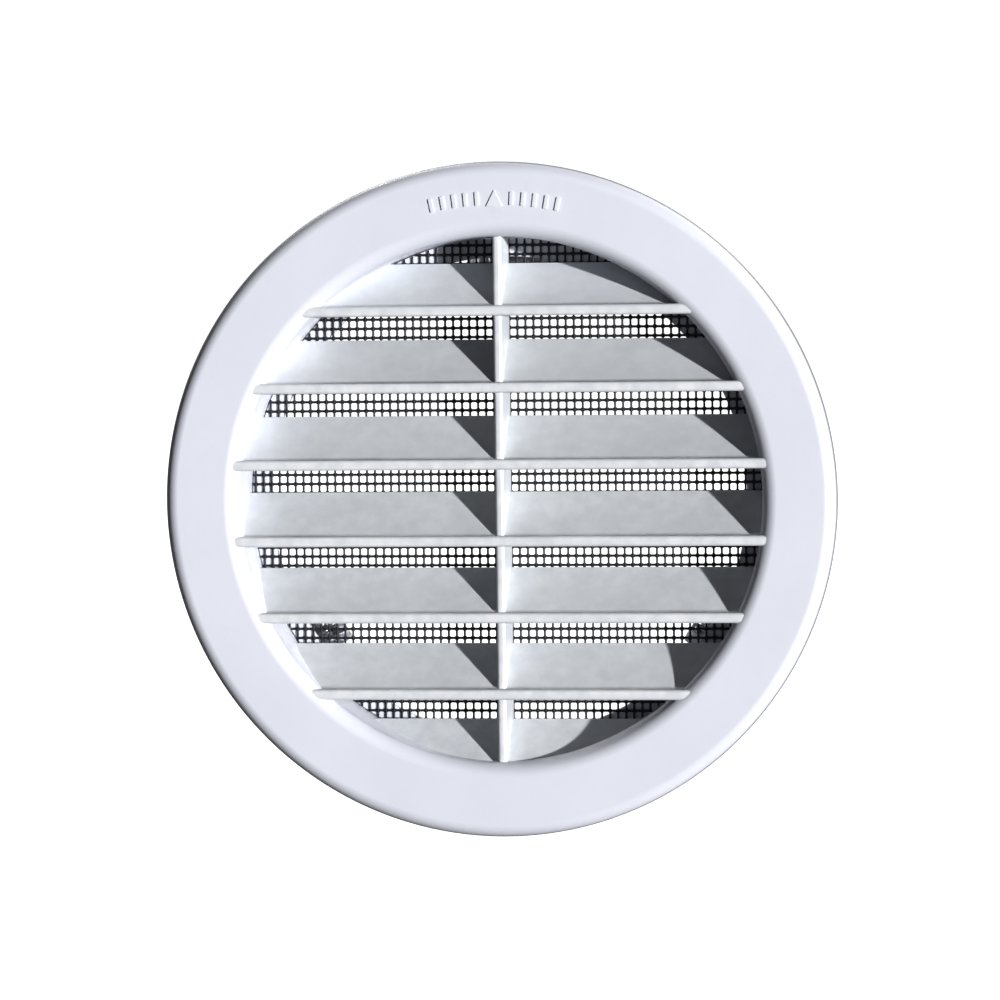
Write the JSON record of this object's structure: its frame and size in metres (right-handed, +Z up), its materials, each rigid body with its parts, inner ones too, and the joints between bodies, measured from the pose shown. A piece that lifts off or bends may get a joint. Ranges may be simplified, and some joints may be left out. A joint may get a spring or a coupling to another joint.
{
  "type": "round louvred ventilation grille",
  "caption": "Round push-in ventilation grille: flanged ring, sloping rain louvres, centre rib, insect screen with snap ring, and folding spring clips.",
  "frame": {"origin": "on the axis of the duct hole, in the plane where the back of the flange meets the wall or ceiling", "axes": "+Y runs along the collar into the hole, -Y is the side the face looks, +Z is up with the louvres falling outwards, +X is to the right seen from the front"},
  "size_m": [0.12, 0.0294, 0.12],
  "materials": {
    "white_plastic": "satin injection moulding",
    "louvre_plastic": "satin injection moulding",
    "screen_mesh": "coated mesh, matt",
    "spring_steel": "drawn wire",
    "pin_steel": "zinc plated"
  },
  "bodies": {
    "grille": {"flange": "white_plastic", "collar": "white_plastic", "centre_rib": "louvre_plastic", "louvre_1": "louvre_plastic", "louvre_2": "louvre_plastic", "louvre_3": "louvre_plastic", "louvre_4": "louvre_plastic", "louvre_5": "louvre_plastic", "louvre_6": "louvre_plastic", "louvre_7": "louvre_plastic", "insect_screen": "screen_mesh", "screen_ring": "white_plastic", "clip_bracket_1": "white_plastic", "clip_pin_1": "pin_steel", "clip_bracket_2": "white_plastic", "clip_pin_2": "pin_steel", "clip_bracket_3": "white_plastic", "clip_pin_3": "pin_steel"},
    "spring_clip_1": {"spring_clip_1": "spring_steel"},
    "spring_clip_2": {"spring_clip_2": "spring_steel"},
    "spring_clip_3": {"spring_clip_3": "spring_steel"}
  },
  "joints": [
    {"name": "clip_fold_1", "type": "hinge", "parent": "grille", "child": "spring_clip_1", "pos_m": [0, 0.02072, 0.04332], "axis": [1, 0, 0], "range_deg": [0, 39], "stiffness_Nm_per_rad": 0.04},
    {"name": "clip_fold_2", "type": "hinge", "parent": "grille", "child": "spring_clip_2", "pos_m": [0.03752, 0.02072, -0.02166], "axis": [-0.5, 0, -0.866], "range_deg": [0, 39], "stiffness_Nm_per_rad": 0.04},
    {"name": "clip_fold_3", "type": "hinge", "parent": "grille", "child": "spring_clip_3", "pos_m": [-0.03752, 0.02072, -0.02166], "axis": [-0.5, 0, 0.866], "range_deg": [0, 39], "stiffness_Nm_per_rad": 0.04}
  ]
}
